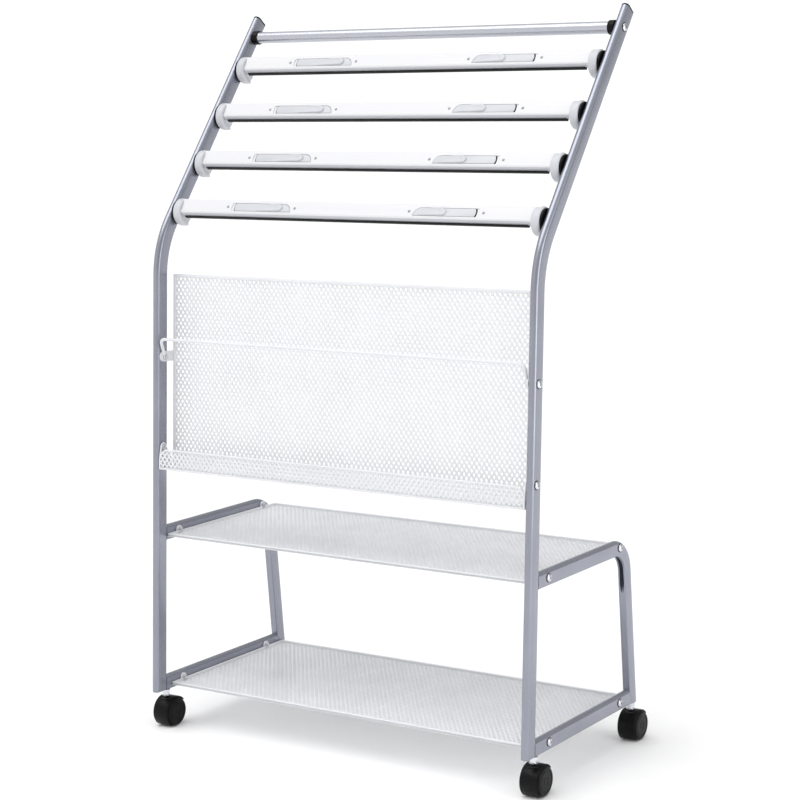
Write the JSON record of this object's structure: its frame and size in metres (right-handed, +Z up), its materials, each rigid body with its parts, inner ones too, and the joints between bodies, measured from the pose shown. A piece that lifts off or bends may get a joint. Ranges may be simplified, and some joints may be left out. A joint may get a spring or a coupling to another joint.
{
  "type": "periodical display rack",
  "caption": "Rolling periodical rack: bent side frames carry lift-out newspaper clips, a wired magazine pocket and mesh shelves on twin-wheel casters.",
  "frame": {"origin": "on the floor, under the middle of the whole rack", "axes": "+Z up; +X to the rack's right as seen from the front; +Y to the back"},
  "size_m": [0.6594, 0.3446, 1.0524],
  "materials": {
    "frame_silver": "silver powder coat, satin",
    "crossbar_silver": "silver paint, smooth satin",
    "clip_white": "white extruded plastic, soft gloss",
    "pale_grey": "pale grey moulded plastic",
    "mesh_white": "white powder coat on expanded steel",
    "black_plastic": "black moulded plastic, satin",
    "bright_steel": "bright plated steel"
  },
  "bodies": {
    "frame": {"upright_left": "frame_silver", "rear_leg_left": "frame_silver", "base_rail_left": "frame_silver", "upright_cap_left": "black_plastic", "crossbar_collar_left": "black_plastic", "upright_right": "frame_silver", "rear_leg_right": "frame_silver", "base_rail_right": "frame_silver", "upright_cap_right": "black_plastic", "crossbar_collar_right": "black_plastic", "top_crossbar": "crossbar_silver", "magazine_trough": "mesh_white", "pocket_back_panel": "mesh_white", "retaining_wire": "mesh_white", "mid_shelf": "mesh_white", "base_shelf": "mesh_white", "clip_1_cradle_left": "pale_grey", "clip_1_cradle_right": "pale_grey", "clip_2_cradle_left": "pale_grey", "clip_2_cradle_right": "pale_grey", "clip_3_cradle_left": "pale_grey", "clip_3_cradle_right": "pale_grey", "clip_4_cradle_left": "pale_grey", "clip_4_cradle_right": "pale_grey", "caster_front_left_stem": "bright_steel", "caster_front_right_stem": "bright_steel", "caster_rear_left_stem": "bright_steel", "caster_rear_right_stem": "bright_steel"},
    "clip_1": {"clip_1_rail": "clip_white"},
    "clip_1_jaw": {"clip_1_jaw": "black_plastic"},
    "clip_1_catch_left": {"clip_1_catch_left": "pale_grey"},
    "clip_1_catch_right": {"clip_1_catch_right": "pale_grey"},
    "clip_2": {"clip_2_rail": "clip_white"},
    "clip_2_jaw": {"clip_2_jaw": "black_plastic"},
    "clip_2_catch_left": {"clip_2_catch_left": "pale_grey"},
    "clip_2_catch_right": {"clip_2_catch_right": "pale_grey"},
    "clip_3": {"clip_3_rail": "clip_white"},
    "clip_3_jaw": {"clip_3_jaw": "black_plastic"},
    "clip_3_catch_left": {"clip_3_catch_left": "pale_grey"},
    "clip_3_catch_right": {"clip_3_catch_right": "pale_grey"},
    "clip_4": {"clip_4_rail": "clip_white"},
    "clip_4_jaw": {"clip_4_jaw": "black_plastic"},
    "clip_4_catch_left": {"clip_4_catch_left": "pale_grey"},
    "clip_4_catch_right": {"clip_4_catch_right": "pale_grey"},
    "caster_front_left": {"caster_front_left_hood": "black_plastic", "caster_front_left_axle": "bright_steel"},
    "caster_front_left_wheel_left": {"caster_front_left_wheel_left": "black_plastic"},
    "caster_front_left_wheel_right": {"caster_front_left_wheel_right": "black_plastic"},
    "caster_front_right": {"caster_front_right_hood": "black_plastic", "caster_front_right_axle": "bright_steel"},
    "caster_front_right_wheel_left": {"caster_front_right_wheel_left": "black_plastic"},
    "caster_front_right_wheel_right": {"caster_front_right_wheel_right": "black_plastic"},
    "caster_rear_left": {"caster_rear_left_hood": "black_plastic", "caster_rear_left_axle": "bright_steel"},
    "caster_rear_left_wheel_left": {"caster_rear_left_wheel_left": "black_plastic"},
    "caster_rear_left_wheel_right": {"caster_rear_left_wheel_right": "black_plastic"},
    "caster_rear_right": {"caster_rear_right_hood": "black_plastic", "caster_rear_right_axle": "bright_steel"},
    "caster_rear_right_wheel_left": {"caster_rear_right_wheel_left": "black_plastic"},
    "caster_rear_right_wheel_right": {"caster_rear_right_wheel_right": "black_plastic"}
  },
  "joints": [
    {"name": "clip_1_lift", "type": "slide", "parent": "frame", "child": "clip_1", "axis": [0, 0.5299, 0.848], "range_m": [0, 0.035]},
    {"name": "clip_1_jaw_hinge", "type": "hinge", "parent": "clip_1", "child": "clip_1_jaw", "pos_m": [0, 0.0726, 0.98287], "axis": [1, 0, 0], "range_deg": [0, 38]},
    {"name": "clip_1_catch_left_slide", "type": "slide", "parent": "clip_1", "child": "clip_1_catch_left", "axis": [-1, 0, 0], "range_m": [0, 0.005]},
    {"name": "clip_1_catch_right_slide", "type": "slide", "parent": "clip_1", "child": "clip_1_catch_right", "axis": [1, 0, 0], "range_m": [0, 0.005]},
    {"name": "clip_2_lift", "type": "slide", "parent": "frame", "child": "clip_2", "axis": [0, 0.5299, 0.848], "range_m": [0, 0.035]},
    {"name": "clip_2_jaw_hinge", "type": "hinge", "parent": "clip_2", "child": "clip_2_jaw", "pos_m": [0, 0.01929, 0.91463], "axis": [1, 0, 0], "range_deg": [0, 38]},
    {"name": "clip_2_catch_left_slide", "type": "slide", "parent": "clip_2", "child": "clip_2_catch_left", "axis": [-1, 0, 0], "range_m": [0, 0.005]},
    {"name": "clip_2_catch_right_slide", "type": "slide", "parent": "clip_2", "child": "clip_2_catch_right", "axis": [1, 0, 0], "range_m": [0, 0.005]},
    {"name": "clip_3_lift", "type": "slide", "parent": "frame", "child": "clip_3", "axis": [0, 0.5299, 0.848], "range_m": [0, 0.035]},
    {"name": "clip_3_jaw_hinge", "type": "hinge", "parent": "clip_3", "child": "clip_3_jaw", "pos_m": [0, -0.03403, 0.84639], "axis": [1, 0, 0], "range_deg": [0, 38]},
    {"name": "clip_3_catch_left_slide", "type": "slide", "parent": "clip_3", "child": "clip_3_catch_left", "axis": [-1, 0, 0], "range_m": [0, 0.005]},
    {"name": "clip_3_catch_right_slide", "type": "slide", "parent": "clip_3", "child": "clip_3_catch_right", "axis": [1, 0, 0], "range_m": [0, 0.005]},
    {"name": "clip_4_lift", "type": "slide", "parent": "frame", "child": "clip_4", "axis": [0, 0.5299, 0.848], "range_m": [0, 0.035]},
    {"name": "clip_4_jaw_hinge", "type": "hinge", "parent": "clip_4", "child": "clip_4_jaw", "pos_m": [0, -0.08735, 0.77815], "axis": [1, 0, 0], "range_deg": [0, 38]},
    {"name": "clip_4_catch_left_slide", "type": "slide", "parent": "clip_4", "child": "clip_4_catch_left", "axis": [-1, 0, 0], "range_m": [0, 0.005]},
    {"name": "clip_4_catch_right_slide", "type": "slide", "parent": "clip_4", "child": "clip_4_catch_right", "axis": [1, 0, 0], "range_m": [0, 0.005]},
    {"name": "caster_front_left_swivel", "type": "hinge", "parent": "frame", "child": "caster_front_left", "pos_m": [-0.314, -0.14443, 0.05], "axis": [0, 0, 1], "continuous": true},
    {"name": "caster_front_left_wheel_left_spin", "type": "hinge", "parent": "caster_front_left", "child": "caster_front_left_wheel_left", "pos_m": [-0.314, -0.13693, 0.0216], "axis": [1, 0, 0], "continuous": true},
    {"name": "caster_front_left_wheel_right_spin", "type": "hinge", "parent": "caster_front_left", "child": "caster_front_left_wheel_right", "pos_m": [-0.314, -0.13693, 0.0216], "axis": [1, 0, 0], "continuous": true},
    {"name": "caster_front_right_swivel", "type": "hinge", "parent": "frame", "child": "caster_front_right", "pos_m": [0.314, -0.14443, 0.05], "axis": [0, 0, 1], "continuous": true},
    {"name": "caster_front_right_wheel_left_spin", "type": "hinge", "parent": "caster_front_right", "child": "caster_front_right_wheel_left", "pos_m": [0.314, -0.13693, 0.0216], "axis": [1, 0, 0], "continuous": true},
    {"name": "caster_front_right_wheel_right_spin", "type": "hinge", "parent": "caster_front_right", "child": "caster_front_right_wheel_right", "pos_m": [0.314, -0.13693, 0.0216], "axis": [1, 0, 0], "continuous": true},
    {"name": "caster_rear_left_swivel", "type": "hinge", "parent": "frame", "child": "caster_rear_left", "pos_m": [-0.314, 0.14357, 0.05], "axis": [0, 0, 1], "continuous": true},
    {"name": "caster_rear_left_wheel_left_spin", "type": "hinge", "parent": "caster_rear_left", "child": "caster_rear_left_wheel_left", "pos_m": [-0.314, 0.15107, 0.0216], "axis": [1, 0, 0], "continuous": true},
    {"name": "caster_rear_left_wheel_right_spin", "type": "hinge", "parent": "caster_rear_left", "child": "caster_rear_left_wheel_right", "pos_m": [-0.314, 0.15107, 0.0216], "axis": [1, 0, 0], "continuous": true},
    {"name": "caster_rear_right_swivel", "type": "hinge", "parent": "frame", "child": "caster_rear_right", "pos_m": [0.314, 0.14357, 0.05], "axis": [0, 0, 1], "continuous": true},
    {"name": "caster_rear_right_wheel_left_spin", "type": "hinge", "parent": "caster_rear_right", "child": "caster_rear_right_wheel_left", "pos_m": [0.314, 0.15107, 0.0216], "axis": [1, 0, 0], "continuous": true},
    {"name": "caster_rear_right_wheel_right_spin", "type": "hinge", "parent": "caster_rear_right", "child": "caster_rear_right_wheel_right", "pos_m": [0.314, 0.15107, 0.0216], "axis": [1, 0, 0], "continuous": true}
  ]
}
